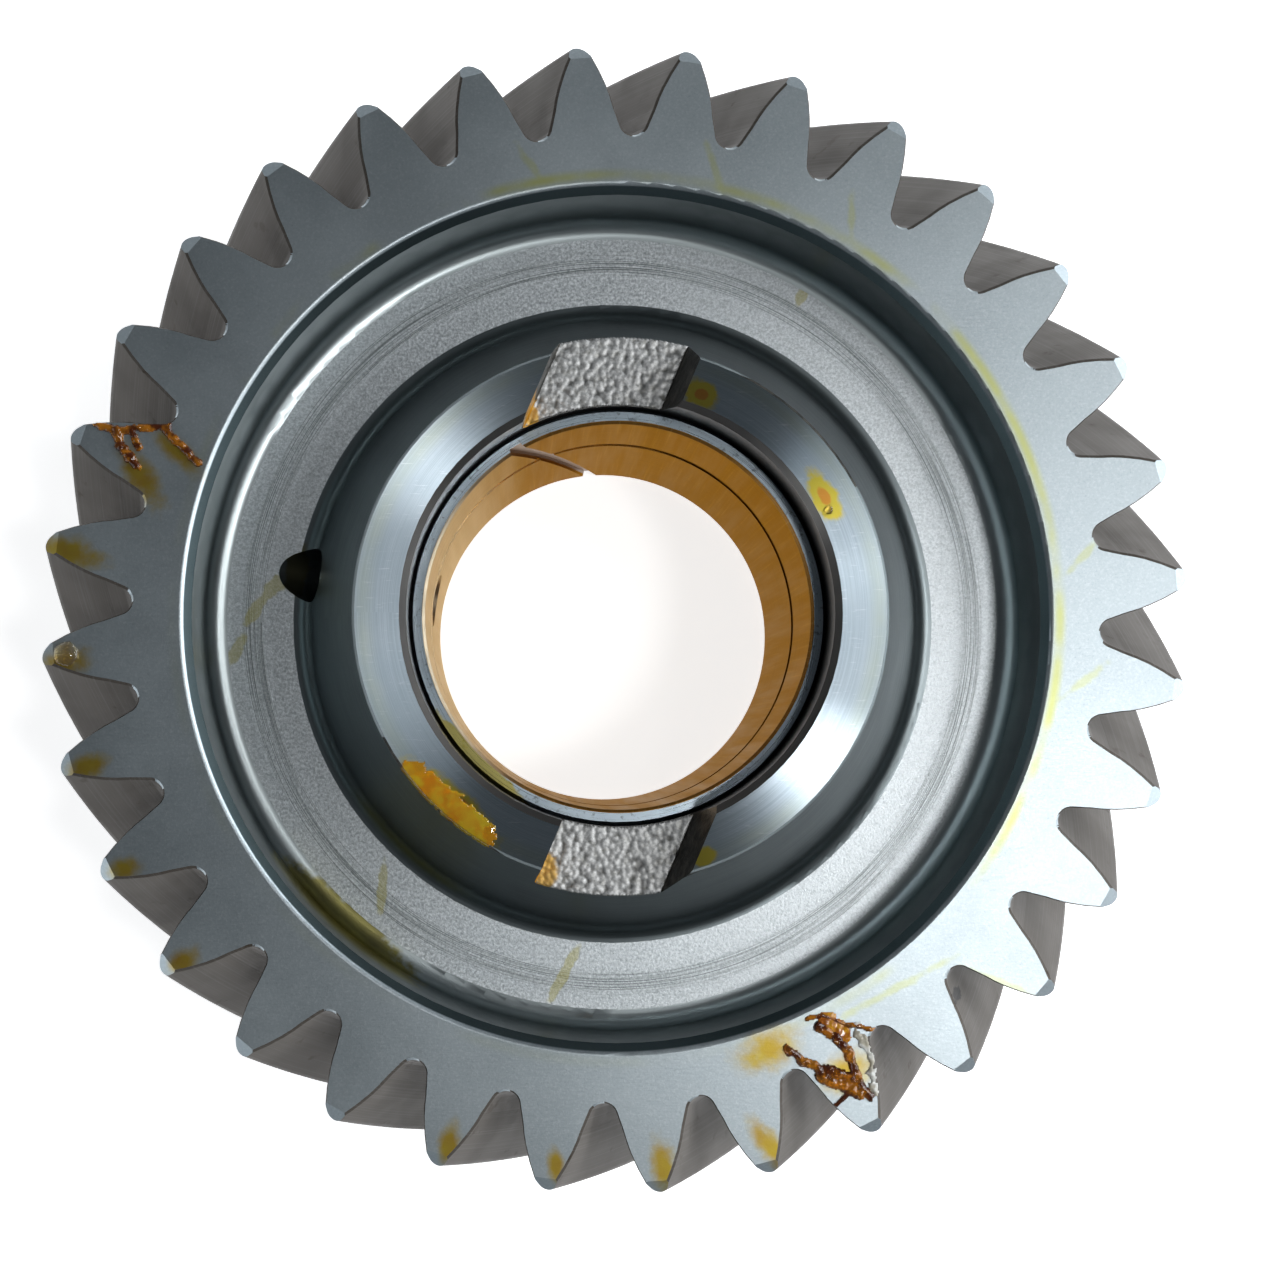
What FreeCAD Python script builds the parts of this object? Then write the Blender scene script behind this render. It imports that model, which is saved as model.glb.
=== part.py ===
import FreeCAD, Part
import math
import os

# A helical gear with a plain bush.  A forged steel gear blank carries 32 deep hobbed teeth on a
# wide rim, a thinner web between two ring-shaped recesses, and a long hub.  A wrapped bush, a
# steel strip lined with bronze, is pressed into the hub.
# Millimetres.  +Z is the gear's axis.  The origin is on the axis, in the hub's back face.

# Teeth: an involute in the plane across the axis, left hand
TOOTH_COUNT = 32
NORMAL_MODULE = 4.5
HELIX_ANGLE = math.radians(29.0)
PRESSURE_ANGLE = math.radians(20.0)
TIP_RADIUS = 89.4
ROOT_RADIUS = 75.3
ROOT_FILLET = 2.1
FLANK_START_RADIUS = 79.5
FLANK_END_RADIUS = 88.6
FIRST_TOOTH_ANGLE = math.radians(3.8)
FLANK_POINTS = 6
OVERRUN = 1.0

# Heights along the axis
HUB_LENGTH = 70.0
RIM_BACK = 11.0
FACE_WIDTH = 50.0
WEB_THICKNESS = 17.0
BUSH_BACK = 1.0
BUSH_LENGTH = 60.0

# Radii of the blank
HOUSING_RADIUS = 32.5
HUB_FACE_RADIUS = 40.6
RIM_INNER_RADIUS = 66.2

# Edges, drafts and fillets of the blank
HUB_MOUTH_CHAMFER = 1.0
HUB_EDGE_CHAMFER = 0.4
HUB_WALL_DRAFT = math.radians(20.0)
HUB_FILLET = 3.3
RIM_WALL_DRAFT = math.radians(1.0)
RIM_FILLET = 3.0
RIM_EDGE_CHAMFER = 1.4
RIM_EDGE_ROUND = 1.0
TIP_BEVEL_RADIAL = 2.0
TIP_BEVEL_AXIAL = 1.2
TOOTH_EDGE_BREAK = 0.3

# Two open slots across the hub's front face, on opposite sides of the bore.  Each has one
# upright wall and one sloping wall, on the same side in both.
SLOT_FLOOR = 62.7
SLOT_FACE_WIDTH = 21.0
SLOT_FLOOR_WIDTH = 18.6
SLOT_CORNER_RADIUS = 0.8
SLOT_DIRECTION = math.radians(67.0)
SLOT_OFFSET = 14.5
SLOT_START = 16.0
SLOT_END = 52.0

# Oil hole, drilled from the front recess down to the middle of the bush
OIL_HOLE_RADIUS = 4.4
OIL_HOLE_ANGLE = 171.2
OIL_HOLE_MOUTH_RADIUS = 50.5
OIL_HOLE_MOUTH_HEIGHT = 46.5
OIL_HOLE_OVERRUN = 8.0
OIL_HOLE_INNER_STOP = 25.0

# Bush
BORE_RADIUS = 30.0
LINING_THICKNESS = 0.5
BUSH_OUTER_CHAMFER_RADIAL = 0.65
BUSH_OUTER_CHAMFER_AXIAL = 1.8
BUSH_INNER_CHAMFER = 0.4
SEAM_BACK_ANGLE = math.radians(94.6)
SEAM_TWIST = math.radians(26.7)
SEAM_MOUTH_WIDTH = 3.0
SEAM_FLOOR_WIDTH = 2.0
SEAM_DEPTH = 1.0
OIL_GROOVE_HEIGHT = 39.0
OIL_GROOVE_WIDTH = 2.4
OIL_GROOVE_DEPTH = 0.25

# Two points closer than this are the same point
FIT = 0.001

# Values that follow from the ones above
TRANSVERSE_MODULE = NORMAL_MODULE / math.cos(HELIX_ANGLE)
PITCH_RADIUS = TRANSVERSE_MODULE * TOOTH_COUNT / 2
BASE_RADIUS = PITCH_RADIUS * math.cos(PRESSURE_ANGLE)
LEAD = 2 * math.pi * PITCH_RADIUS / math.tan(HELIX_ANGLE)
TOOTH_PITCH = 2 * math.pi / TOOTH_COUNT
RIM_FRONT = RIM_BACK + FACE_WIDTH
WEB_BACK = RIM_BACK + (FACE_WIDTH - WEB_THICKNESS) / 2
WEB_FRONT = WEB_BACK + WEB_THICKNESS
BUSH_FRONT = BUSH_BACK + BUSH_LENGTH
BACKING_INNER_RADIUS = BORE_RADIUS + LINING_THICKNESS


def polar(radius, angle, height=0.0):
    return FreeCAD.Vector(radius * math.cos(angle), radius * math.sin(angle), height)


def section_point(radius, height):
    return FreeCAD.Vector(radius, 0, height)


def revolve(wire):
    axis_point = FreeCAD.Vector(0, 0, 0)
    axis = FreeCAD.Vector(0, 0, 1)
    return Part.Face(wire).revolve(axis_point, axis, 360)


def ring(radius, height, length):
    return Part.makeCylinder(radius, length, FreeCAD.Vector(0, 0, height))


def line(start, end):
    return Part.LineSegment(start, end).toShape()


def twist(wire, height, lead, left_hand):
    """Sweep a wire that lies across the axis up the axis while it turns about it."""
    spine_radius = 10.0
    spine = Part.makeHelix(lead, height, spine_radius, 0, left_hand)
    sweep = Part.BRepOffsetAPI.MakePipeShell(Part.Wire(spine.Edges))
    sweep.setFrenetMode(True)
    sweep.add(wire, False, False)
    sweep.build()
    sweep.makeSolid()
    return sweep.shape()


# ---- teeth -------------------------------------------------------------------------------------

def involute_angle(radius):
    """Half the tooth's angular thickness at this radius."""
    def involute(angle):
        return math.tan(angle) - angle
    pressure = math.acos(BASE_RADIUS / radius)
    return TOOTH_PITCH / 4 + involute(PRESSURE_ANGLE) - involute(pressure)


def flank(centre, side):
    """One flank of a tooth, from the root outwards, with its two end points."""
    points = []
    for step in range(FLANK_POINTS):
        share = step / (FLANK_POINTS - 1)
        radius = FLANK_START_RADIUS + share * (FLANK_END_RADIUS - FLANK_START_RADIUS)
        points.append(polar(radius, centre + side * involute_angle(radius)))
    curve = Part.BSplineCurve()
    curve.interpolate(points)
    return curve.toShape(), points[0], points[-1]


def root_tangent_point():
    """Where the straight foot of a flank meets the root's arc: radius, and angle from mid-gap."""
    half_gap = TOOTH_PITCH / 2 - involute_angle(FLANK_START_RADIUS)
    across = FLANK_START_RADIUS * math.sin(half_gap)
    centre_radius = ROOT_RADIUS + ROOT_FILLET
    outward = FLANK_START_RADIUS * math.cos(half_gap) - centre_radius
    turn = math.atan2(across, outward) + math.acos(ROOT_FILLET / math.hypot(across, outward))
    tangent_across = ROOT_FILLET * math.sin(turn)
    tangent_outward = centre_radius + ROOT_FILLET * math.cos(turn)
    return math.hypot(tangent_across, tangent_outward), math.atan2(tangent_across, tangent_outward)


def tooth_outline(turn):
    """The closed outline of all the teeth, in the plane z = 0."""
    tangent_radius, tangent_angle = root_tangent_point()
    edges = []
    for index in range(TOOTH_COUNT):
        centre = turn + index * TOOTH_PITCH
        gap = centre + TOOTH_PITCH / 2
        right, right_foot, right_tip = flank(centre, -1)
        left, left_foot, left_tip = flank(centre, 1)
        near = polar(tangent_radius, gap - tangent_angle)
        far = polar(tangent_radius, gap + tangent_angle)
        next_foot = polar(FLANK_START_RADIUS, centre + TOOTH_PITCH - involute_angle(FLANK_START_RADIUS))
        tip = Part.Arc(right_tip, polar(TIP_RADIUS, centre), left_tip).toShape()
        root = Part.Arc(near, polar(ROOT_RADIUS, gap), far).toShape()
        edges += [right, tip, left, line(left_foot, near), root, line(far, next_foot)]
    return Part.Wire(Part.__sortEdges__(edges))


def toothed_cylinder():
    """The teeth as one long twisted bar that runs past both ends of the hub."""
    start = -OVERRUN
    length = HUB_LENGTH + 2 * OVERRUN
    start_turn = FIRST_TOOTH_ANGLE + (RIM_FRONT - start) * 2 * math.pi / LEAD
    bar = twist(tooth_outline(start_turn), length, LEAD, True)
    bar.translate(FreeCAD.Vector(0, 0, start))
    return bar


# ---- blank -------------------------------------------------------------------------------------

def corner_arc(before, corner, after, radius):
    """The arc of this radius that rounds a corner, with its two tangent points."""
    to_before = (before - corner).normalize()
    to_after = (after - corner).normalize()
    half_angle = to_before.getAngle(to_after) / 2
    reach = radius / math.tan(half_angle)
    start = corner + to_before * reach
    end = corner + to_after * reach
    bisector = (to_before + to_after).normalize()
    middle = corner + bisector * (radius / math.sin(half_angle) - radius)
    return Part.Arc(start, middle, end).toShape(), start, end


def rounded_outline(corners):
    """A closed wire through (point, fillet radius) pairs; a radius of 0 leaves the corner sharp."""
    edges = []
    starts = []
    ends = []
    for index, (corner, radius) in enumerate(corners):
        before = corners[index - 1][0]
        after = corners[(index + 1) % len(corners)][0]
        if radius > 0:
            arc, start, end = corner_arc(before, corner, after, radius)
            edges.append(arc)
        else:
            start = corner
            end = corner
        starts.append(start)
        ends.append(end)
    for index in range(len(corners)):
        edges.append(line(ends[index - 1], starts[index]))
    return Part.Wire(Part.__sortEdges__(edges))


def recess_corners(hub_face, rim_face, web_face):
    """The corners of one recess, from the hub's edge out to the rim; hub_face is its outer end."""
    outward = 1 if hub_face > web_face else -1
    depth = abs(hub_face - web_face)
    wall_depth = abs(rim_face - web_face)
    hub_foot = HUB_FACE_RADIUS + depth * math.tan(HUB_WALL_DRAFT)
    rim_foot = RIM_INNER_RADIUS - wall_depth * math.tan(RIM_WALL_DRAFT)
    edge = HUB_EDGE_CHAMFER
    return [
        (section_point(HUB_FACE_RADIUS - edge, hub_face), 0),
        (section_point(HUB_FACE_RADIUS, hub_face - outward * edge), 0),
        (section_point(hub_foot, web_face), HUB_FILLET),
        (section_point(rim_foot, web_face), RIM_FILLET),
        (section_point(RIM_INNER_RADIUS, rim_face - outward * RIM_EDGE_CHAMFER), 0),
        (section_point(RIM_INNER_RADIUS + RIM_EDGE_CHAMFER, rim_face), RIM_EDGE_ROUND),
    ]


def gear_section():
    """Half the section through the axis: bore, front recess, rim, back recess."""
    mouth = HOUSING_RADIUS + HUB_MOUTH_CHAMFER
    bevel_foot = TIP_RADIUS - TIP_BEVEL_RADIAL
    bevel_end = TIP_RADIUS + OVERRUN
    bevel_drop = TIP_BEVEL_AXIAL * (bevel_end - bevel_foot) / TIP_BEVEL_RADIAL
    corners = [
        (section_point(HOUSING_RADIUS, HUB_MOUTH_CHAMFER), 0),
        (section_point(HOUSING_RADIUS, HUB_LENGTH - HUB_MOUTH_CHAMFER), 0),
        (section_point(mouth, HUB_LENGTH), 0),
    ]
    corners += recess_corners(HUB_LENGTH, RIM_FRONT, WEB_FRONT)
    corners += [
        (section_point(bevel_foot, RIM_FRONT), 0),
        (section_point(bevel_end, RIM_FRONT - bevel_drop), 0),
        (section_point(bevel_end, RIM_BACK + bevel_drop), 0),
        (section_point(bevel_foot, RIM_BACK), 0),
    ]
    corners += reversed(recess_corners(0, RIM_BACK, WEB_BACK))
    corners.append((section_point(mouth, 0), 0))
    return rounded_outline(corners)


# ---- cuts --------------------------------------------------------------------------------------

def hub_slot(side):
    """The space of one slot, open at the top, on one side of the bore: side is 1 or -1."""
    slope = (SLOT_FACE_WIDTH - SLOT_FLOOR_WIDTH) / (HUB_LENGTH - SLOT_FLOOR)
    top = HUB_LENGTH + OVERRUN
    upright = SLOT_FACE_WIDTH / 2
    floor_edge = upright - SLOT_FLOOR_WIDTH
    corners = [
        (FreeCAD.Vector(0, upright, top), 0),
        (FreeCAD.Vector(0, upright, SLOT_FLOOR), SLOT_CORNER_RADIUS),
        (FreeCAD.Vector(0, floor_edge, SLOT_FLOOR), SLOT_CORNER_RADIUS),
        (FreeCAD.Vector(0, floor_edge - slope * (top - SLOT_FLOOR), top), 0),
    ]
    channel = Part.Face(rounded_outline(corners)).extrude(FreeCAD.Vector(SLOT_END - SLOT_START, 0, 0))
    start = SLOT_START if side > 0 else -SLOT_END
    channel.translate(FreeCAD.Vector(start, side * SLOT_OFFSET, 0))
    channel.rotate(FreeCAD.Vector(0, 0, 0), FreeCAD.Vector(0, 0, 1), math.degrees(SLOT_DIRECTION))
    return channel


def oil_hole():
    """The drilled hole, from above the recess's fillet to inside the bore."""
    middle = (BUSH_BACK + BUSH_FRONT) / 2
    mouth = section_point(OIL_HOLE_MOUTH_RADIUS, OIL_HOLE_MOUTH_HEIGHT)
    exit_point = section_point(BORE_RADIUS, middle)
    direction = (exit_point - mouth).normalize()
    start = mouth - direction * OIL_HOLE_OVERRUN
    length = OIL_HOLE_OVERRUN + OIL_HOLE_INNER_STOP + OIL_HOLE_RADIUS
    hole = Part.makeCylinder(OIL_HOLE_RADIUS, length, start, direction)
    hole.rotate(FreeCAD.Vector(0, 0, 0), FreeCAD.Vector(0, 0, 1), OIL_HOLE_ANGLE)
    return hole


def seam_groove():
    """The bevelled butt joint of the wrapped strip: a shallow channel that winds up the bore."""
    inner = BORE_RADIUS - SEAM_DEPTH
    outer = BORE_RADIUS + SEAM_DEPTH
    mouth_half = SEAM_MOUTH_WIDTH / 2
    floor_half = SEAM_FLOOR_WIDTH / 2
    corners = [
        (FreeCAD.Vector(inner, -mouth_half, 0), 0),
        (FreeCAD.Vector(outer, -floor_half, 0), 0),
        (FreeCAD.Vector(outer, floor_half, 0), 0),
        (FreeCAD.Vector(inner, mouth_half, 0), 0),
    ]
    lead = BUSH_LENGTH * 2 * math.pi / SEAM_TWIST
    start_angle = SEAM_BACK_ANGLE - OVERRUN / BUSH_LENGTH * SEAM_TWIST
    groove = twist(rounded_outline(corners), BUSH_LENGTH + 2 * OVERRUN, lead, False)
    groove.rotate(FreeCAD.Vector(0, 0, 0), FreeCAD.Vector(0, 0, 1), math.degrees(start_angle))
    groove.translate(FreeCAD.Vector(0, 0, BUSH_BACK - OVERRUN))
    return groove


def oil_groove():
    """A shallow groove once round the bore."""
    back = OIL_GROOVE_HEIGHT - OIL_GROOVE_WIDTH / 2
    core = ring(BORE_RADIUS - OVERRUN, back, OIL_GROOVE_WIDTH)
    return ring(BORE_RADIUS + OIL_GROOVE_DEPTH, back, OIL_GROOVE_WIDTH).cut(core)


# ---- parts -------------------------------------------------------------------------------------

def break_tooth_edges(body):
    """Chamfer the edges where the flanks and roots meet the two faces of the rim."""
    sharp = []
    for edge in body.Edges:
        points = [edge.valueAt(edge.FirstParameter), edge.valueAt(edge.LastParameter)]
        middle = edge.valueAt((edge.FirstParameter + edge.LastParameter) / 2)
        points.append(middle)
        radius = math.hypot(middle.x, middle.y)
        beside_tooth = RIM_INNER_RADIUS + RIM_FILLET < radius < TIP_RADIUS - TIP_BEVEL_RADIAL - FIT
        for level in (RIM_BACK, RIM_FRONT):
            if beside_tooth and all(abs(point.z - level) < FIT for point in points):
                sharp.append(edge)
    return body.makeChamfer(TOOTH_EDGE_BREAK, sharp)


def gear():
    body = break_tooth_edges(revolve(gear_section()).common(toothed_cylinder()))
    return body.cut(Part.makeCompound([hub_slot(1), hub_slot(-1), oil_hole()]))


def bush_backing():
    chamfer_radius = HOUSING_RADIUS - BUSH_OUTER_CHAMFER_RADIAL
    corners = [
        (section_point(BACKING_INNER_RADIUS, BUSH_BACK), 0),
        (section_point(BACKING_INNER_RADIUS, BUSH_FRONT), 0),
        (section_point(chamfer_radius, BUSH_FRONT), 0),
        (section_point(HOUSING_RADIUS, BUSH_FRONT - BUSH_OUTER_CHAMFER_AXIAL), 0),
        (section_point(HOUSING_RADIUS, BUSH_BACK + BUSH_OUTER_CHAMFER_AXIAL), 0),
        (section_point(chamfer_radius, BUSH_BACK), 0),
    ]
    return revolve(rounded_outline(corners)).cut(Part.makeCompound([seam_groove(), oil_hole()]))


def bush_lining():
    chamfer = BUSH_INNER_CHAMFER
    corners = [
        (section_point(BORE_RADIUS, BUSH_BACK + chamfer), 0),
        (section_point(BORE_RADIUS, BUSH_FRONT - chamfer), 0),
        (section_point(BORE_RADIUS + chamfer, BUSH_FRONT), 0),
        (section_point(BACKING_INNER_RADIUS, BUSH_FRONT), 0),
        (section_point(BACKING_INNER_RADIUS, BUSH_BACK), 0),
        (section_point(BORE_RADIUS + chamfer, BUSH_BACK), 0),
    ]
    blank = revolve(rounded_outline(corners))
    return blank.cut(Part.makeCompound([seam_groove(), oil_groove(), oil_hole()]))


def write(name, shape):
    solids = shape.Solids
    if len(solids) != 1 or not solids[0].isValid():
        raise RuntimeError(f"{name}: {len(solids)} solids, valid {shape.isValid()}")
    solids[0].exportStep(os.path.join("parts", name + ".step"))
    print(name, "volume", round(solids[0].Volume), "mm3, faces", len(solids[0].Faces))


os.makedirs("parts", exist_ok=True)
write("gear", gear())
write("bush_backing", bush_backing())
write("bush_lining", bush_lining())
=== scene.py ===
import math

import bpy
from mathutils import Matrix, Vector, noise
from mathutils.bvhtree import BVHTree


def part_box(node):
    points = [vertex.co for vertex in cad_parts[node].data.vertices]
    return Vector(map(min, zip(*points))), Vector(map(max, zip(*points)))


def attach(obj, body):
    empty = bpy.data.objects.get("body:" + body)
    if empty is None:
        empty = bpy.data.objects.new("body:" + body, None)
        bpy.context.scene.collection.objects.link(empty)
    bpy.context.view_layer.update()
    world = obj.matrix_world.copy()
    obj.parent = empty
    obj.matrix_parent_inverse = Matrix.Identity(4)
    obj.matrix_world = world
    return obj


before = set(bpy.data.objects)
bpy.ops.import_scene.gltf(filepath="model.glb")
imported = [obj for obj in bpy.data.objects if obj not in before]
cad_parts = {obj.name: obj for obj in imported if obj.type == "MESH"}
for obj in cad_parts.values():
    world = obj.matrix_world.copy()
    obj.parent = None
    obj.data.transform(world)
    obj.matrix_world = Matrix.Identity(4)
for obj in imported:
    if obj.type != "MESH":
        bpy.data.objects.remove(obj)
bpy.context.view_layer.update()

# A bushed helical gear, lying on its back hub face with the slotted end of the hub upwards.
# Metres.  MM turns a size in millimetres into metres.  Angles on the gear are counted
# anticlockwise from +X, as seen from the slotted end.
MM = 0.001
BODY = "root"

# Levels and radii of the gear, which the finishes and the added pieces are placed by
gear_low, gear_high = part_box("gear")
bush_low, bush_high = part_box("bush_backing")
HUB_FRONT = gear_high.z
HUB_BACK = gear_low.z
HOUSING_RADIUS = (bush_high.x - bush_low.x) / 2
RIM_FRONT = 61 * MM
RIM_BACK = 11 * MM
MIDDLE = 35 * MM
ROOT_RADIUS = 75.3 * MM
RIM_INNER = 67.6 * MM
RECESS_WALL = 66.2 * MM
WEB_INNER = 52.2 * MM
HUB_FACE_OUTER = 40.2 * MM

# The two slots across the hub's front face, one on each side of the bore
SLOT_FLOOR = 62.7 * MM
SLOT_MOUTH_RADIUS = 43.2 * MM
SLOT_DIRECTION = math.radians(67)
SLOT_OFFSET = 14.5 * MM
SLOT_HALF_WIDTH = 10.5 * MM
SLOT_FLOOR_WIDTH = 18.6 * MM

# The teeth: the first one's angle and the step to the next, in degrees, how deep the bevel at
# their ends goes, and how far they wind round the axis, in radians for each metre along it
FIRST_TOOTH = 3.8
TOOTH_PITCH = 11.25
TOOTH_BEVEL_DEPTH = 1.25 * MM
HELIX_ANGLE = math.radians(29)
PITCH_RADIUS = 82.3 * MM
TEETH_TWIST = math.tan(HELIX_ANGLE) / PITCH_RADIUS


# ---- node graphs -------------------------------------------------------------------------------

class Finish:
    """A material whose node graph is built by calls that read like formulas.

    Every place in it is a place on the object: x, y and z in metres, and radius and angle
    round the gear's axis.
    """

    def __init__(self, name, metallic=1.0):
        self.material = bpy.data.materials.new(name)
        self.material.use_nodes = True
        self.tree = self.material.node_tree
        self.surface = self.tree.nodes["Principled BSDF"]
        self.surface.inputs["Metallic"].default_value = metallic
        self.place = self.tree.nodes.new("ShaderNodeTexCoord").outputs["Object"]
        split = self.tree.nodes.new("ShaderNodeSeparateXYZ")
        self.tree.links.new(self.place, split.inputs[0])
        self.x, self.y, self.z = split.outputs
        squares = self.math("ADD", self.math("POWER", self.x, 2), self.math("POWER", self.y, 2))
        self.radius = self.math("SQRT", squares)
        self.angle = self.math("ARCTAN2", self.y, self.x)

    def feed(self, value, socket):
        if isinstance(value, bpy.types.NodeSocket):
            self.tree.links.new(value, socket)
        else:
            socket.default_value = value

    def math(self, operation, *values):
        node = self.tree.nodes.new("ShaderNodeMath")
        node.operation = operation
        for value, socket in zip(values, node.inputs):
            self.feed(value, socket)
        return node.outputs[0]

    def vector(self, x, y, z):
        node = self.tree.nodes.new("ShaderNodeCombineXYZ")
        for value, socket in zip((x, y, z), node.inputs):
            self.feed(value, socket)
        return node.outputs[0]

    def noise(self, scale, detail=3.0, roughness=0.55, place=None):
        node = self.tree.nodes.new("ShaderNodeTexNoise")
        self.feed(place or self.place, node.inputs["Vector"])
        node.inputs["Scale"].default_value = scale
        node.inputs["Detail"].default_value = detail
        node.inputs["Roughness"].default_value = roughness
        return node.outputs["Fac"]

    def ramp(self, value, low, high, out_low=0.0, out_high=1.0):
        """Smoothly from out_low, where value is at low, to out_high, where it is at high."""
        node = self.tree.nodes.new("ShaderNodeMapRange")
        node.interpolation_type = "SMOOTHSTEP"
        for given, socket in zip((value, low, high, out_low, out_high), node.inputs):
            self.feed(given, socket)
        return node.outputs[0]

    def band(self, value, low, high, soft):
        """1 where value is between low and high, and 0 elsewhere, with soft ends."""
        rise = self.ramp(value, low - soft, low + soft)
        fall = self.ramp(value, high - soft, high + soft, 1.0, 0.0)
        return self.math("MULTIPLY", rise, fall)

    def mix(self, share, first, second):
        """The first colour where share is 0, and the second where it is 1."""
        node = self.tree.nodes.new("ShaderNodeMix")
        node.data_type = "RGBA"
        self.feed(share, node.inputs["Factor"])
        for value, socket in ((first, node.inputs["A"]), (second, node.inputs["B"])):
            colour_sockets = [s for s in node.inputs if s.name == socket.name and s.type == "RGBA"]
            self.feed((*value, 1) if isinstance(value, tuple) else value, colour_sockets[0])
        return [s for s in node.outputs if s.type == "RGBA"][0]

    def turned(self, rings_per_mm=6, drift=3.0):
        """Turning marks: noise that changes fast across the radius and slowly round it."""
        across = self.math("MULTIPLY", self.radius, rings_per_mm * 1000)
        along = self.math("MULTIPLY", self.angle, drift)
        return self.noise(1.0, 2.0, 0.6, self.vector(across, along, self.z))

    def spot(self, angle, radius, length, width, lean=0.0, ragged=0.25, soft=0.2):
        """1 inside an oval at (angle, radius) on the front half of the gear, and 0 elsewhere.

        length lies along the circle, turned by lean, and width across it.
        """
        turn = math.radians(angle)
        centre_x = radius * MM * math.cos(turn)
        centre_y = radius * MM * math.sin(turn)
        along = turn + math.pi / 2 + math.radians(lean)
        dx = self.math("SUBTRACT", self.x, centre_x)
        dy = self.math("SUBTRACT", self.y, centre_y)
        u = self.math("ADD", self.math("MULTIPLY", dx, math.cos(along)),
                      self.math("MULTIPLY", dy, math.sin(along)))
        v = self.math("SUBTRACT", self.math("MULTIPLY", dy, math.cos(along)),
                      self.math("MULTIPLY", dx, math.sin(along)))
        u = self.math("DIVIDE", u, length * MM / 2)
        v = self.math("DIVIDE", v, width * MM / 2)
        squares = self.math("ADD", self.math("POWER", u, 2), self.math("POWER", v, 2))
        distance = self.math("SQRT", squares)
        edge = self.math("MULTIPLY", self.math("SUBTRACT", self.noise(450, 3), 0.5), 4 * ragged)
        inside = self.ramp(self.math("ADD", distance, edge), 0.95 - soft, 0.95 + soft, 1.0, 0.0)
        return self.math("MULTIPLY", inside, self.ramp(self.z, MIDDLE - MM, MIDDLE + MM))

    def bump(self, height, depth_mm):
        node = self.tree.nodes.new("ShaderNodeBump")
        node.inputs["Strength"].default_value = 1.0
        node.inputs["Distance"].default_value = depth_mm * MM
        self.feed(height, node.inputs["Height"])
        self.feed(node.outputs[0], self.surface.inputs["Normal"])

    def finish(self, colour, roughness):
        self.feed(colour, self.surface.inputs["Base Color"])
        self.feed(roughness, self.surface.inputs["Roughness"])
        return self.material


def total(finish, masks):
    """The largest of several masks."""
    result = masks[0]
    for mask in masks[1:]:
        result = finish.math("MAXIMUM", result, mask)
    return result


# ---- finishes of the steel ---------------------------------------------------------------------

OIL_YELLOW = (0.46, 0.37, 0.015)
OIL_AMBER = (0.34, 0.18, 0.01)
OIL_GREEN = (0.40, 0.42, 0.16)
SHADED_STEEL = (0.035, 0.055, 0.058)


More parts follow.
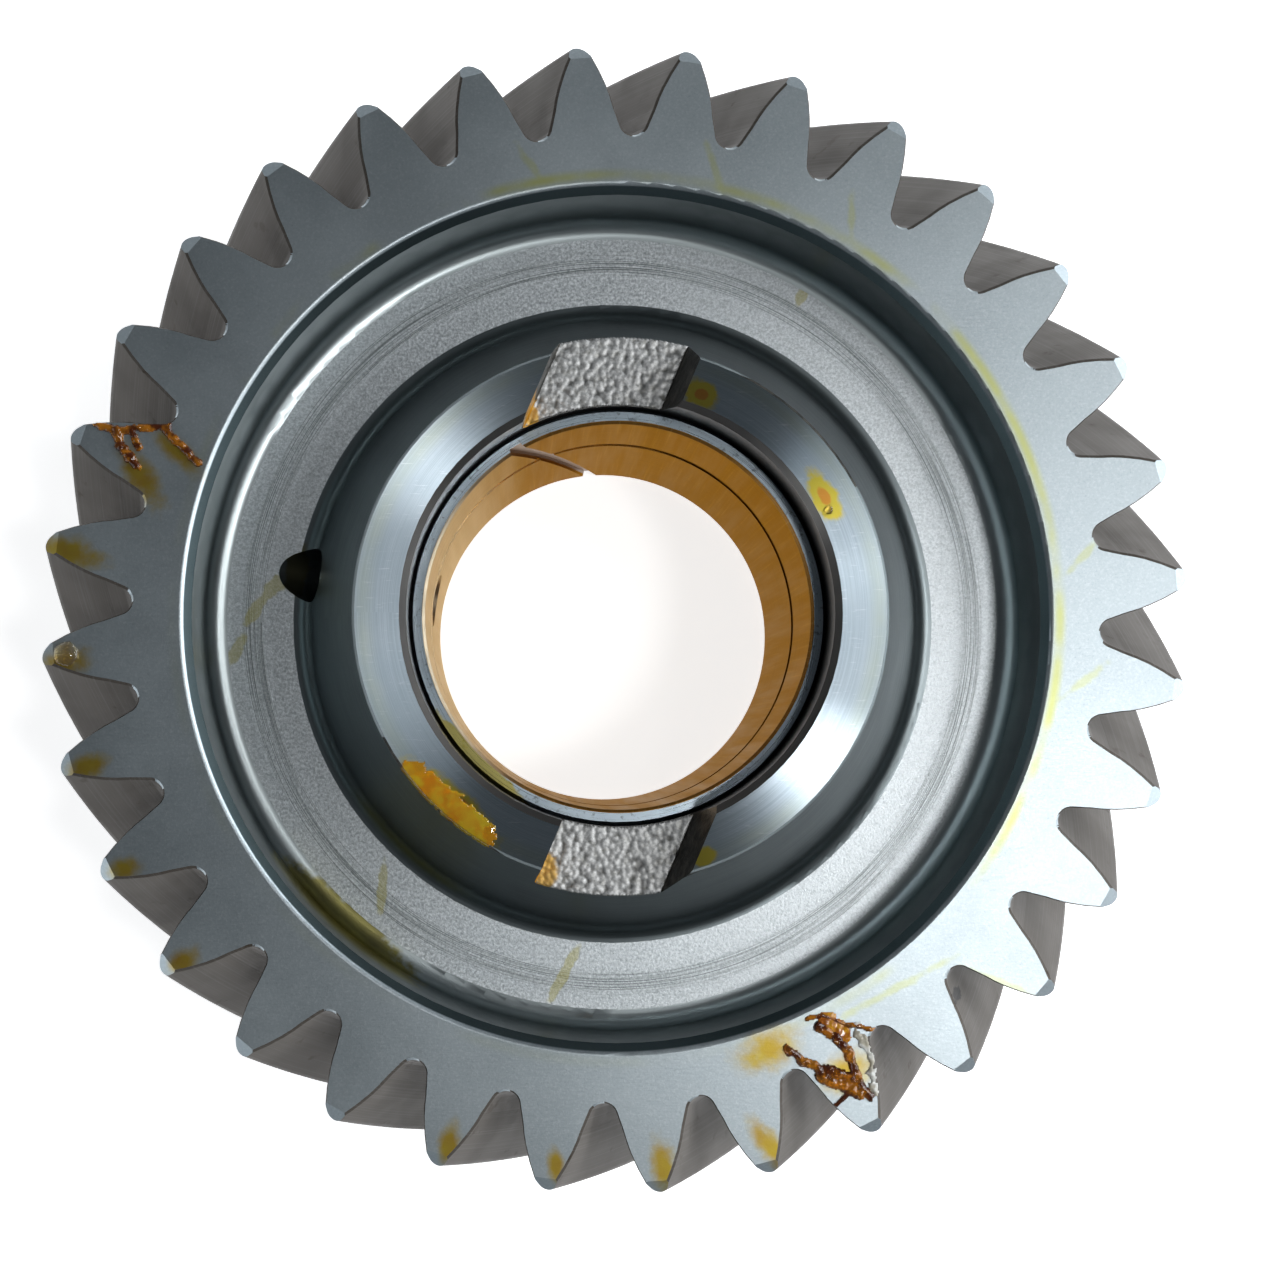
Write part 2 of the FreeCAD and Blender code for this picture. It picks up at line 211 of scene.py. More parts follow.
def rim_face_steel():
    """The ground faces of the rim: satin blue-grey, with dried oil at its edge and on the teeth."""
    f = Finish("rim_face_steel")
    cloud = f.noise(45, 4)
    grain = f.noise(2600, 2, 0.7)
    lay_place = f.vector(f.math("MULTIPLY", f.x, 500), f.math("MULTIPLY", f.y, 3200), 0.0)
    lay = f.noise(1.0, 2, 0.6, lay_place)
    colour = f.mix(cloud, (0.32, 0.37, 0.395), (0.40, 0.45, 0.475))
    colour = f.mix(f.ramp(grain, 0.45, 0.8, 0.0, 0.5), colour, (0.52, 0.56, 0.58))
    colour = f.mix(f.ramp(grain, 0.2, 0.42, 0.35, 0.0), colour, (0.20, 0.24, 0.26))
    # Dried oil has crept out of the recess as a thin green-yellow band along the rim's inner edge
    edge = f.band(f.radius, RIM_INNER + 0.6 * MM, RIM_INNER + 2.0 * MM, 0.7 * MM)
    edge = f.math("MULTIPLY", edge, f.ramp(f.noise(60, 3), 0.38, 0.62))
    edge = f.math("MULTIPLY", edge, f.ramp(f.math("ADD", f.x, f.y), -60 * MM, 10 * MM, 0.1, 0.9))
    colour = f.mix(edge, colour, OIL_GREEN)
    # Streaks run outwards from it towards some of the tooth roots: angle, radius, reach, lean
    streak_places = ((60, 73, 7, 30), (78, 72, 7, 30), (101, 72, 6, 25), (8, 74, 9, 40),
                     (-8, 73, 8, 45), (306.1, 71.8, 20, 82), (316.3, 82.2, 12, 22))
    streaks = [f.spot(angle, radius, 1.2, reach, lean, 0.5, 0.6)
               for angle, radius, reach, lean in streak_places]
    colour = f.mix(f.math("MULTIPLY", total(f, streaks), 0.5), colour, OIL_GREEN)
    # Yellow oil has pooled on the tips of some teeth: which tooth, then width, reach and lean
    tip_pools = ((15, 4.4, 10, -8), (16, 4.4, 7, 0), (17, 3.4, 6, 10), (18, 3.4, 5, 0), (19, 3.2, 5, 0),
                 (22, 3.0, 6, 8), (23, 2.4, 5, 8), (24, 3.6, 8, 6), (25, 3.4, 9, 22))
    tips = [f.spot(FIRST_TOOTH + TOOTH_PITCH * tooth + 0.9, 85.5, width, reach, lean, 0.3, 0.6)
            for tooth, width, reach, lean in tip_pools]
    # and round the two patches of varnish
    halos = [f.spot(163.7, 77.0, 4.0, 10, -42, 0.35, 0.7), f.spot(159.6, 72.8, 3.0, 8, -23, 0.3, 0.7),
             f.spot(289.0, 71.0, 9, 5.0, 0, 0.3, 0.7), f.spot(296.5, 79, 7, 5, 0, 0.3, 0.7)]
    oil = total(f, tips + halos)
    colour = f.mix(f.math("MULTIPLY", oil, 0.93), colour, f.mix(f.noise(300, 2), OIL_AMBER, OIL_YELLOW))
    # Painted shade: inside the rim's inner edge the face darkens to the shaded steel colour
    painted_edge_shade = f.ramp(f.radius, RIM_INNER - 0.4 * MM, RIM_INNER - 0.1 * MM, 0.9, 0.0)
    colour = f.mix(painted_edge_shade, colour, SHADED_STEEL)
    roughness = f.math("ADD", f.ramp(cloud, 0.3, 0.7, 0.33, 0.37), f.math("MULTIPLY", lay, 0.07))
    f.feed(f.math("MULTIPLY", oil, 0.3), f.surface.inputs["Coat Weight"])
    f.surface.inputs["Coat Roughness"].default_value = 0.12
    f.bump(f.math("ADD", grain, lay), 0.010)
    return f.finish(colour, roughness)


def tooth_steel():
    """Shaved flanks under a film of old oil: dark brown-grey, partly from the oil and partly painted
    shade, faintly marked along the tooth.
    """
    f = Finish("tooth_steel", metallic=0.25)
    f.surface.inputs["Specular IOR Level"].default_value = 0.1
    cloud = f.noise(90, 4)
    winding = f.math("ADD", f.angle, f.math("MULTIPLY", f.z, TEETH_TWIST))
    marks = f.noise(1.0, 2, 0.6, f.vector(f.math("MULTIPLY", f.radius, 3800),
                                          f.math("MULTIPLY", winding, 40), f.math("MULTIPLY", f.z, 20)))
    # Partly painted shade: the flanks' dark colour stands for the oil film and for the shade they lie
    # in
    colour = f.mix(cloud, (0.058, 0.047, 0.037), (0.100, 0.091, 0.082))
    colour = f.mix(f.ramp(marks, 0.45, 0.8, 0.0, 0.3), colour, (0.18, 0.175, 0.17))
    grime = f.math("MULTIPLY", f.ramp(f.noise(220, 4), 0.62, 0.72), 0.7)
    colour = f.mix(grime, colour, (0.035, 0.022, 0.012))
    # A black spot on one flank, towards the front end
    dark_spot = f.math("MULTIPLY", f.spot(-48, 79.3, 2.2, 2.0, 0, 0.6), f.ramp(f.z, 45 * MM, 47 * MM))
    colour = f.mix(dark_spot, colour, (0.01, 0.01, 0.01))
    f.bump(marks, 0.008)
    return f.finish(colour, f.ramp(cloud, 0.3, 0.7, 0.36, 0.50))


def recess_steel():
    """The turned walls and fillets of the recesses, with painted shade on the outer wall, painted light
    on the outer fillet, and oil lying in the lower left of the groove.
    """
    f = Finish("recess_steel")
    marks = f.turned()
    colour = f.mix(f.noise(60, 3), (0.15, 0.175, 0.185), (0.26, 0.30, 0.31))
    # Painted light: the outer fillet is lighter than the hub's wall, so the highlight in it shows
    # brighter
    groove = f.ramp(f.radius, 56 * MM, 60 * MM)
    colour = f.mix(groove, colour, (0.42, 0.47, 0.48))
    # Painted shade: the outer wall darkens to the shaded steel colour
    wall = f.ramp(f.radius, 65.0 * MM, 66.2 * MM)
    colour = f.mix(f.math("MULTIPLY", wall, 0.85), colour, SHADED_STEEL)
    low_down = f.ramp(f.z, 51 * MM, 57 * MM, 1.0, 0.0)
    pool = f.math("MULTIPLY", f.spot(228, 65.5, 34, 6.5, 0, 0.25), low_down)
    pool_colour = f.mix(f.noise(200, 2), (0.12, 0.09, 0.01), (0.34, 0.30, 0.03))
    colour = f.mix(f.math("MULTIPLY", pool, 0.85), colour, pool_colour)
    # Oil has also seeped from the hole in the hub's wall
    at_web = f.ramp(f.z, 46 * MM, 50 * MM, 1.0, 0.0)
    seep = f.math("MULTIPLY", f.spot(171, 52.5, 11, 3.5, 0, 0.3), at_web)
    colour = f.mix(f.math("MULTIPLY", seep, 0.6), colour, (0.16, 0.13, 0.02))
    f.bump(marks, 0.006)
    return f.finish(colour, f.ramp(marks, 0.3, 0.7, 0.30, 0.38))


def web_steel():
    """The web: a granular satin face, with a bundle of turning marks towards its outer edge."""
    f = Finish("web_steel")
    grain = f.noise(2200, 3, 0.75)
    coarse = f.noise(900, 2, 0.6)
    marks = f.turned(7, 1.5)
    bundle = f.band(f.radius, 56.5 * MM, 61.0 * MM, 1.0 * MM)
    ridges = f.math("MULTIPLY", marks, bundle)
    colour = f.mix(f.ramp(grain, 0.3, 0.7), (0.40, 0.44, 0.46), (0.70, 0.74, 0.76))
    colour = f.mix(f.ramp(coarse, 0.3, 0.5, 0.25, 0.0), colour, (0.24, 0.27, 0.28))
    colour = f.mix(f.math("MULTIPLY", f.ramp(ridges, 0.45, 0.62), 0.8), colour, (0.16, 0.18, 0.18))
    # Thin trails of oil: angle, radius, length, width, lean
    trail_places = ((174, 55.6, 2.6, 5, 50), (178, 58.4, 2.2, 6, 55), (184, 61.4, 2.0, 6, 60),
                    (229, 57.5, 1.6, 10, 35), (262, 57.5, 1.8, 11, -20), (60, 62.0, 2.0, 4, 0))
    trails = [f.spot(*place, 0.35) for place in trail_places]
    colour = f.mix(f.math("MULTIPLY", total(f, trails), 0.55), colour, (0.42, 0.38, 0.10))
    height = f.math("ADD", grain, f.math("MULTIPLY", ridges, 0.8))
    f.bump(height, 0.035)
    return f.finish(colour, f.ramp(grain, 0.3, 0.7, 0.36, 0.47))


def hub_face_steel():
    """The turned thrust face, bright, with rays of light across its turning marks."""
    f = Finish("hub_face_steel")
    marks = f.turned(9, 1.5)
    cloud = f.noise(160, 4)
    scratch_place = f.vector(f.math("MULTIPLY", f.x, 350), f.math("MULTIPLY", f.y, 3000), 0.0)
    scratch = f.noise(1.0, 2, 0.6, scratch_place)
    colour = f.mix(cloud, (0.38, 0.46, 0.52), (0.50, 0.57, 0.62))
    colour = f.mix(f.ramp(marks, 0.35, 0.65, 0.4, 0.0), colour, (0.24, 0.30, 0.35))
    colour = f.mix(f.ramp(scratch, 0.6, 0.75, 0.0, 0.3), colour, (0.85, 0.88, 0.90))
    outer_edge = f.band(f.radius, HUB_FACE_OUTER - 2.2 * MM, HUB_FACE_OUTER, 1.2 * MM)
    green = f.math("MULTIPLY", outer_edge, 0.35)
    colour = f.mix(f.math("MULTIPLY", green, cloud), colour, OIL_GREEN)
    oil = total(f, [f.spot(228.5, 38.6, 18.5, 5.6, 0, 0.2), f.spot(30, 35.4, 8.5, 4.2, 0, 0.25),
                    f.spot(69.8, 35.2, 5.5, 4.6, 0, 0.25), f.spot(289, 38.9, 3.6, 3.0, 0, 0.25)])
    heart = total(f, [f.spot(228.5, 38.4, 13, 3.4, 0, 0.3), f.spot(30, 35.4, 3.2, 1.6, 0, 0.2),
                      f.spot(69.8, 35.2, 2.0, 1.6, 0, 0.2)])
    yellow = f.mix(heart, (0.70, 0.56, 0.03), (0.72, 0.30, 0.01))
    colour = f.mix(f.math("MULTIPLY", oil, 0.92), colour, yellow)
    f.surface.inputs["Anisotropic"].default_value = 1.0
    f.surface.inputs["Anisotropic Rotation"].default_value = 0.25
    tangent = f.tree.nodes.new("ShaderNodeTangent")
    tangent.direction_type = "RADIAL"
    tangent.axis = "Z"
    f.feed(tangent.outputs[0], f.surface.inputs["Tangent"])
    f.feed(f.math("MULTIPLY", oil, 0.8), f.surface.inputs["Coat Weight"])
    f.surface.inputs["Coat Roughness"].default_value = 0.1
    f.bump(f.math("ADD", marks, scratch), 0.0015)
    return f.finish(colour, 0.30)


def hub_bore_steel():
    """The hub's bore above the bush, and its chamfers, painted dark as shade."""
    f = Finish("hub_bore_steel")
    marks_place = f.vector(f.math("MULTIPLY", f.angle, 3), 0.0, f.math("MULTIPLY", f.z, 5000))
    marks = f.noise(1.0, 2, 0.6, marks_place)
    # Painted shade: the bore and its chamfers are given a near-black colour
    colour = f.mix(f.noise(80, 3), (0.055, 0.055, 0.055), (0.14, 0.13, 0.12))
    f.bump(marks, 0.006)
    return f.finish(colour, f.ramp(marks, 0.3, 0.7, 0.28, 0.40))


def forged_steel():
    """The rough forged surface left in the slots, with painted shade between its pebbles, and two oil
    stains.
    """
    f = Finish("forged_steel", metallic=0.75)
    grain = f.noise(2400, 3, 0.7)
    dirt_and_shade_mottle = f.noise(700, 3, 0.6)
    colour = f.mix(f.ramp(grain, 0.3, 0.7), (0.34, 0.345, 0.34), (0.58, 0.585, 0.58))
    # Painted shade: the lowest places, between the pebbles, are darkened
    painted_crease_shade = f.ramp(f.z, SLOT_FLOOR + 0.10 * MM, SLOT_FLOOR + 0.26 * MM, 0.8, 0.0)
    colour = f.mix(painted_crease_shade, colour, (0.09, 0.09, 0.085))
    colour = f.mix(f.ramp(dirt_and_shade_mottle, 0.3, 0.5, 0.5, 0.0), colour, (0.16, 0.155, 0.13))
    oil = total(f, [f.spot(114.0, 34.0, 2.6, 6.0, 0, 0.3), f.spot(254.0, 41.2, 3.6, 5.5, 0, 0.3)])
    colour = f.mix(f.math("MULTIPLY", oil, 0.85), colour, (0.44, 0.25, 0.02))
    f.bump(grain, 0.012)
    return f.finish(colour, f.ramp(grain, 0.3, 0.7, 0.42, 0.55))


def slot_wall_steel():
    """The slots' side walls, painted black as shade, with amber oil in two places."""
    f = Finish("slot_wall_steel", metallic=0.6)
    dirt_and_shade_mottle = f.noise(500, 4, 0.65)
    # Painted shade: the walls are near-black, mottled between two dark tones
    colour = f.mix(f.ramp(dirt_and_shade_mottle, 0.35, 0.7), (0.012, 0.012, 0.011), (0.07, 0.065, 0.055))
    amber = total(f, [f.spot(114.0, 34.0, 5.0, 7.0, 0, 0.3), f.spot(254.0, 41.0, 5.0, 7.0, 0, 0.3)])
    colour = f.mix(f.math("MULTIPLY", amber, 0.9), colour, (0.50, 0.24, 0.01))
    f.bump(dirt_and_shade_mottle, 0.25)
    return f.finish(colour, 0.42)


def bush_steel():
    """The strip's turned end face and its outside."""
    f = Finish("bush_steel")
    marks = f.turned(9, 2.0)
    fleck = f.noise(900, 3, 0.7)
    colour = f.mix(f.noise(150, 3), (0.36, 0.45, 0.52), (0.62, 0.71, 0.77))
    colour = f.mix(f.ramp(fleck, 0.32, 0.45, 0.6, 0.0), colour, (0.12, 0.13, 0.14))
    oil = f.spot(225, 31.3, 30, 2.6, 0, 0.3)
    colour = f.mix(f.math("MULTIPLY", oil, 0.8), colour, (0.52, 0.42, 0.03))
    # The strip is bronze-brown where the joint's groove cuts into its inside
    inside = f.ramp(f.radius, 31.2 * MM, 31.6 * MM, 1.0, 0.0)
    below_end = f.ramp(f.z, 60.2 * MM, 60.8 * MM, 1.0, 0.0)
    colour = f.mix(f.math("MULTIPLY", inside, below_end), colour, (0.20, 0.10, 0.035))
    f.bump(marks, 0.005)
    return f.finish(colour, f.ramp(marks, 0.3, 0.7, 0.26, 0.38))


def bush_bronze():
    """Sintered bronze, oiled and polished in streaks along the bore, with painted light on its side
    towards -X.
    """
    f = Finish("bush_bronze")
    broad_place = f.vector(f.math("MULTIPLY", f.angle, 9), f.math("MULTIPLY", f.z, 14), 0.0)
    streaks = f.noise(1.0, 4, 0.6, broad_place)
    fine_place = f.vector(f.math("MULTIPLY", f.angle, 70), f.math("MULTIPLY", f.z, 30), 0.0)
    fine = f.noise(1.0, 3, 0.6, fine_place)
    ring_place = f.vector(f.math("MULTIPLY", f.angle, 2), 0.0, f.math("MULTIPLY", f.z, 1500))
    rings = f.noise(1.0, 2, 0.6, ring_place)
    colour = f.mix(f.ramp(streaks, 0.25, 0.75), (0.24, 0.115, 0.025), (0.33, 0.170, 0.045))
    # Painted light: the side of the bore towards -X, which faces the lamps, is painted pale
    painted_lit_side = f.ramp(f.x, -29 * MM, -12 * MM, 0.8, 0.0)
    colour = f.mix(painted_lit_side, colour, (0.74, 0.66, 0.50))
    colour = f.mix(f.ramp(fine, 0.5, 0.8, 0.0, 0.25), colour, (0.70, 0.46, 0.18))
    colour = f.mix(f.ramp(rings, 0.35, 0.5, 0.25, 0.0), colour, (0.16, 0.08, 0.03))
    f.surface.inputs["Specular Tint"].default_value = (0.66, 0.46, 0.22, 1)
    f.bump(f.math("ADD", fine, rings), 0.006)
    return f.finish(colour, f.ramp(streaks, 0.3, 0.7, 0.30, 0.44))


def varnish(name, colour, dark, transmission):
    """Old oil that has dried into a clear, glossy skin."""
    f = Finish(name, metallic=0.0)
    f.surface.inputs["Transmission Weight"].default_value = transmission
    f.surface.inputs["IOR"].default_value = 1.46
    patches = f.noise(420, 2, 0.6)
    f.bump(f.noise(900, 2), 0.05)
    return f.finish(f.mix(f.ramp(patches, 0.40, 0.62), dark, colour), 0.05)


def gear_region(centre, normal):
    """Which finish a face of the gear takes, from where it is and which way it looks.

    upright is 0 on a wall along the axis and 1 on an end face, and outward is 1 on a face that
    looks straight away from the axis.
    """
    radius = math.hypot(centre.x, centre.y)
    upright = abs(normal.z)
    outward = (centre.x * normal.x + centre.y * normal.y) / max(radius, MM)
    near_end = min(RIM_FRONT - centre.z, centre.z - RIM_BACK) < TOOTH_BEVEL_DEPTH
    if radius > ROOT_RADIUS - 1 * MM and upright < 0.97:
        return "rim" if near_end and outward > 0.4 and upright > 0.7 else "tooth"
    if radius > RECESS_WALL - 0.1 * MM and upright > 0.3:
        return "rim"
    if radius > WEB_INNER and upright > 0.9999:
        return "web"
    if upright > 0.999 and radius < HUB_FACE_OUTER + 0.1 * MM:
        return "hub_face" if centre.z > HUB_FRONT - MM or centre.z < HUB_BACK + MM else "slot"
    if radius < HOUSING_RADIUS + 1.2 * MM:
        return "hub_bore"
    if centre.z > SLOT_FLOOR - 0.1 * MM and radius < HUB_FACE_OUTER + MM:
        along = abs(centre.x * math.cos(SLOT_DIRECTION) + centre.y * math.sin(SLOT_DIRECTION))
        across = centre.y * math.cos(SLOT_DIRECTION) - centre.x * math.sin(SLOT_DIRECTION)
        if along > 20 * MM and abs(abs(across) - SLOT_OFFSET) < SLOT_HALF_WIDTH + 0.5 * MM:
            return "slot_wall"
    return "recess"


def dress_gear():
    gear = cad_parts["gear"]
    finishes = {
        "rim": rim_face_steel(),
        "tooth": tooth_steel(),
        "recess": recess_steel(),
        "web": web_steel(),
        "hub_face": hub_face_steel(),
        "hub_bore": hub_bore_steel(),
        "slot": forged_steel(),
        "slot_wall": slot_wall_steel(),
    }
    gear.data.materials.clear()
    order = list(finishes)
    for name in order:
        gear.data.materials.append(finishes[name])
    for face in gear.data.polygons:
        face.material_index = order.index(gear_region(face.center, face.normal))


def dress(node, material):
    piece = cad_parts[node]
    piece.data.materials.clear()
    piece.data.materials.append(material)


# ---- pieces added to the gear ------------------------------------------------------------------

def add_piece(name, mesh_parts, material):
    vertices, faces = mesh_parts
    mesh = bpy.data.meshes.new(name)
    mesh.from_pydata(vertices, [], faces)
    mesh.validate()
    mesh.update()
    mesh.shade_smooth()
    piece = bpy.data.objects.new(name, mesh)
    bpy.context.scene.collection.objects.link(piece)
    mesh.materials.append(material)
    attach(piece, BODY)


def blanket(columns):
    """A closed skin over a grid of columns: {(i, j): (x, y, low, high)}, as vertices and faces."""
    vertices = []
    top = {}
    bottom = {}
    for key, (x, y, low, high) in columns.items():
        top[key] = len(vertices)
        vertices.append((x, y, high))
        bottom[key] = len(vertices)
        vertices.append((x, y, low))
    cells = set()
    for i, j in columns:
        if all(corner in columns for corner in ((i + 1, j), (i, j + 1), (i + 1, j + 1))):
            cells.add((i, j))
    faces = []
    for i, j in sorted(cells):
        a, b, c, d = (i, j), (i + 1, j), (i + 1, j + 1), (i, j + 1)
        faces.append((top[a], top[b], top[c], top[d]))
        faces.append((bottom[d], bottom[c], bottom[b], bottom[a]))
        sides = (((i, j - 1), a, b), ((i + 1, j), b, c), ((i, j + 1), c, d), ((i - 1, j), d, a))
        for neighbour, start, end in sides:
            if neighbour not in cells:
                faces.append((bottom[start], bottom[end], top[end], top[start]))
    used = sorted({index for face in faces for index in face})
    order = {index: place for place, index in enumerate(used)}
    kept_vertices = [vertices[index] for index in used]
    kept_faces = [tuple(order[index] for index in face) for face in faces]
    return kept_vertices, kept_faces


def rough_floor(name, side, material):
    """The pebbled floor of one slot, laid over the slot's plain floor.

    side is 1 for the slot towards +Y and -1 for the slot towards -Y.
    """
    step = 0.2 * MM
    # The grid of steps reaches a little past the slot's ends and sides
    first_step = round(12 * MM / step)
    end_step = round(47 * MM / step)
    side_steps = round(12 * MM / step)
    grain = 1150.0
    relief = 0.30 * MM
    bed = 0.1 * MM
    thinnest = 0.02 * MM
    columns = {}
    low_across = SLOT_HALF_WIDTH - SLOT_FLOOR_WIDTH
    for i in range(first_step, end_step):
        for j in range(-side_steps, side_steps + 1):
            along = side * i * step
            across = j * step
            if not low_across - 0.1 * MM < across < SLOT_HALF_WIDTH + 0.02 * MM:
                continue
            offset = side * SLOT_OFFSET + across
            x = along * math.cos(SLOT_DIRECTION) - offset * math.sin(SLOT_DIRECTION)
            y = along * math.sin(SLOT_DIRECTION) + offset * math.cos(SLOT_DIRECTION)
            radius = math.hypot(x, y)
            if not HOUSING_RADIUS < radius < SLOT_MOUTH_RADIUS:
                continue
            spot = Vector((x * grain, y * grain, side))
            pebble = 1 - min(1.0, noise.voronoi(spot)[0][0]) ** 2
            swell = noise.fractal(spot * 0.5, 0.8, 2.0, 3)
            height = 0.08 * MM + relief * (0.75 * pebble + 0.15 * swell)
            top = SLOT_FLOOR + max(height, thinnest)
            columns[(side * i, j)] = (x, y, SLOT_FLOOR - bed, top)
    add_piece(name, blanket(columns), material)


# The gear's own surface, which the dried oil is laid on
gear_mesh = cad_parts["gear"].data
gear_surface = BVHTree.FromPolygons([vertex.co for vertex in gear_mesh.vertices],
                                    [face.vertices for face in gear_mesh.polygons])


def path_distance(x, y, path):
    """Distance from (x, y) to a path of one or more points, all in millimetres."""
    best = math.inf
    for index in range(max(len(path) - 1, 1)):
        ax, ay = path[index]
        bx, by = path[min(index + 1, len(path) - 1)]
        length_squared = max((bx - ax) ** 2 + (by - ay) ** 2, 1e-9)
        share = min(1.0, max(0.0, ((x - ax) * (bx - ax) + (y - ay) * (by - ay)) / length_squared))
        distance = math.hypot(x - ax - share * (bx - ax), y - ay - share * (by - ay))
        best = min(best, distance)
    return best


def dried_oil(name, paths, material, level, uneven=0.35):
    """Beads and films of dried oil on the face at a level: each path is (points, width, height) in mm.

    uneven is how much the width and the height vary along the path.
    """
    step = 0.2
    thinnest = 0.01
    sunk = 0.02 * MM
    level_slack = 1.2 * MM
    above = 100 * MM
    points = [point for path, _, _ in paths for point in path]
    reach = max(width for _, width, _ in paths) * 1.5
    low_x = min(x for x, _ in points) - reach
    low_y = min(y for _, y in points) - reach
    across = int((max(x for x, _ in points) + reach - low_x) / step) + 1
    up = int((max(y for _, y in points) + reach - low_y) / step) + 1
    columns = {}
    for i in range(across):
        for j in range(up):
            x = low_x + i * step
            y = low_y + j * step
            lump = noise.fractal(Vector((x * 0.9, y * 0.9, 3.1)), 0.7, 2.0, 3)
            height = 0.0
            for path, width, rise in paths:
                distance = path_distance(x, y, path)
                half = width / 2 * (1 + uneven * lump)
                if distance < half:
                    bead = rise * math.sqrt(1 - (distance / half) ** 2) * (1 + uneven * lump)
                    height = max(height, bead)
            if height <= thinnest:
                continue
            hit = gear_surface.ray_cast(Vector((x * MM, y * MM, above)), Vector((0, 0, -1)))[0]
            if hit is None or abs(hit.z - level) > level_slack:
                continue
            columns[(i, j)] = (x * MM, y * MM, hit.z - sunk, hit.z + height * MM)
    add_piece(name, blanket(columns), material)


def make_dried_oil():
    red_brown = varnish("red_brown_varnish", (0.56, 0.20, 0.015), (0.10, 0.022, 0.005), 0.55)
    amber = varnish("amber_film", (0.92, 0.66, 0.04), (0.86, 0.40, 0.02), 0.7)
    clear = varnish("clear_drop", (0.85, 0.78, 0.60), (0.75, 0.62, 0.40), 0.95)
    upper_patch = [
        ([(-80.8, 29.6), (-77.5, 28.6), (-74.4, 29.0), (-69.7, 29.5)], 1.4, 0.5),
        ([(-77.6, 28.6), (-77.0, 26.2), (-74.4, 23.2)], 1.7, 0.8),
        ([(-75.2, 28.6), (-74.2, 26.0)], 1.3, 0.6),
        ([(-70.5, 29.2), (-68.2, 26.8), (-65.0, 23.6)], 1.5, 0.6),
    ]
    lower_patch = [
        ([(29.2, -62.3), (31.6, -61.8), (35.4, -63.2), (39.6, -64.1)], 1.0, 0.35),
        ([(31.0, -63.4), (33.6, -65.3), (35.6, -67.3), (36.4, -70.0), (37.8, -73.4), (38.8, -74.3)],
         1.7, 0.8),
        ([(26.2, -67.0), (28.5, -68.8), (30.8, -69.8), (34.3, -70.8), (37.0, -71.8)], 1.7, 0.8),
        ([(31.4, -71.2), (34.4, -72.6), (37.6, -73.8)], 2.2, 0.8),
        ([(35.4, -74.0), (33.2, -76.0)], 0.9, 0.4),
    ]
    dried_oil("upper_varnish", upper_patch, red_brown, RIM_FRONT)
    dried_oil("lower_varnish", lower_patch, red_brown, RIM_FRONT)
    orange = varnish("orange_varnish", (0.80, 0.36, 0.02), (0.46, 0.13, 0.01), 0.5)
    dried_oil("lower_film", [([(32.4, -62.8), (34.4, -64.8)], 3.4, 0.35)], orange, RIM_FRONT)
    crust = varnish("pale_crust", (0.86, 0.86, 0.82), (0.50, 0.46, 0.36), 0.4)
    crust_path = [(36.6, -63.6), (38.9, -68.0), (39.6, -73.6)]
    dried_oil("lower_crust", [(crust_path, 1.5, 0.3)], crust, RIM_FRONT, uneven=0.9)
    film_path = [(-31.3, -24.2), (-26.2, -28.6), (-20.6, -33.2)]
    dried_oil("hub_film", [(film_path, 4.4, 0.16)], amber, HUB_FRONT)
    dried_oil("tip_drop", [([(-85.2, -5.9)], 4.0, 1.0)], clear, RIM_FRONT, uneven=0.1)
    dried_oil("hub_drop", [([(31.4, 15.6)], 1.6, 0.5)], clear, HUB_FRONT, uneven=0.1)


# ---- stage, light and camera -------------------------------------------------------------------

def make_floor():
    bpy.ops.mesh.primitive_plane_add(size=6, location=(0, 0, HUB_BACK - 0.05 * MM))
    floor = bpy.context.object
    floor.name = "floor"
    f = Finish("floor_paint", metallic=0.0)
    colour = f.mix(f.noise(3, 2), (0.88, 0.88, 0.88), (0.92, 0.92, 0.92))
    f.surface.inputs["Emission Color"].default_value = (1, 1, 1, 1)
    f.surface.inputs["Emission Strength"].default_value = 0.8
    floor.data.materials.append(f.finish(colour, 0.9))
    # The floor's own glow isn't thrown back on the matt film of the flanks
    floor.visible_diffuse = False


def area_light(name, place, target, size, power, colour=(1, 1, 1), size_y=None):
    """A square light of one size, or a rectangle with size_y, in metres; power in watts."""
    data = bpy.data.lights.new(name, "AREA")
    data.energy = power
    data.color = colour
    data.size = size
    if size_y:
        data.shape = "RECTANGLE"
        data.size_y = size_y
    lamp = bpy.data.objects.new(name, data)
    bpy.context.scene.collection.objects.link(lamp)
    lamp.location = place
    lamp.rotation_euler = (Vector(target) - Vector(place)).to_track_quat("-Z", "Y").to_euler()


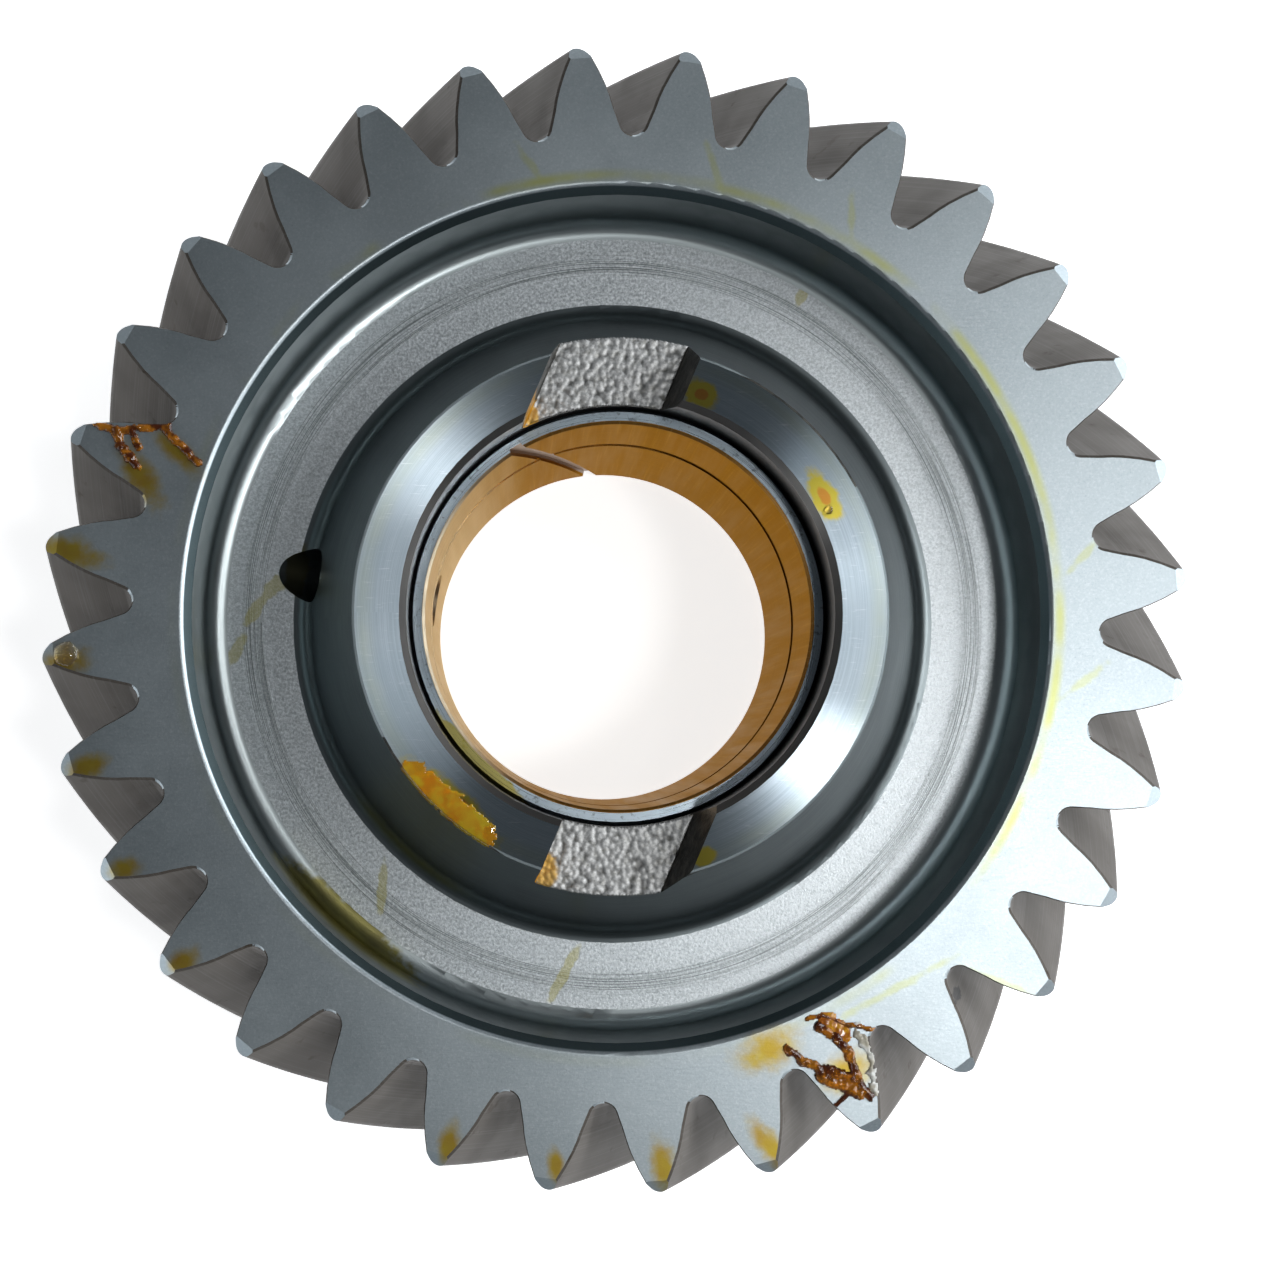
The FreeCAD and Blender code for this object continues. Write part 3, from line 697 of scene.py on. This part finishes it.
def make_light():
    middle = (0, 0, RIM_FRONT)
    area_light("key", (0.373, -0.155, 1.2), middle, 0.14, 2.7)
    area_light("second_key", (0.363, 0.181, 1.2), middle, 0.12, 0.45)
    area_light("window", (0.84, 0.05, 1.0), middle, 0.45, 3.5, size_y=0.30)
    area_light("right", (1.42, 0.30, 0.78), middle, 1.8, 28, (0.92, 0.96, 1.0), size_y=0.6)
    area_light("left", (-1.5, -0.9, 0.7), middle, 0.9, 4, (0.90, 0.95, 1.0))
    world = bpy.data.worlds.new("soft_room")
    bpy.context.scene.world = world
    world.use_nodes = True
    nodes = world.node_tree.nodes
    links = world.node_tree.links
    background = nodes["Background"]
    background.inputs["Color"].default_value = (0.86, 0.93, 1.0, 1)
    # The room is bright along its walls and dim overhead, where the flat faces mirror it
    direction = nodes.new("ShaderNodeSeparateXYZ")
    links.new(nodes.new("ShaderNodeTexCoord").outputs["Generated"], direction.inputs[0])
    height = nodes.new("ShaderNodeMapRange")
    links.new(direction.outputs["Z"], height.inputs["Value"])
    height.inputs["From Min"].default_value = 0.15
    height.inputs["From Max"].default_value = 0.60
    height.inputs["To Min"].default_value = 0.45
    height.inputs["To Max"].default_value = 0.07
    links.new(height.outputs[0], background.inputs["Strength"])


def make_camera():
    """Over the gear, 371 mm up, looking almost straight down, with +X to the right and +Y up."""
    data = bpy.data.cameras.new("camera")
    camera = bpy.data.objects.new("camera", data)
    bpy.context.scene.collection.objects.link(camera)
    data.lens = 56.3
    data.sensor_width = 36
    data.shift_x = 0.0586
    data.shift_y = 0.047
    place = Vector((-15.1, -19.8, 371.0)) * MM
    back = Vector((-6.8, -6.8, 310.0)).normalized()
    right = Vector((0, 1, 0)).cross(back).normalized()
    turn = Matrix((right, back.cross(right), back)).transposed()
    camera.location = place
    camera.rotation_euler = turn.to_euler()
    data.clip_start = 0.01
    data.clip_end = 20
    bpy.context.scene.camera = camera


# ---- the whole scene ---------------------------------------------------------------------------

dress_gear()
forged = forged_steel()
rough_floor("slot_floor_upper", 1, forged)
rough_floor("slot_floor_lower", -1, forged)
make_dried_oil()
dress("bush_backing", bush_steel())
dress("bush_lining", bush_bronze())
make_floor()
make_light()
make_camera()
bpy.context.scene.view_settings.view_transform = "Standard"
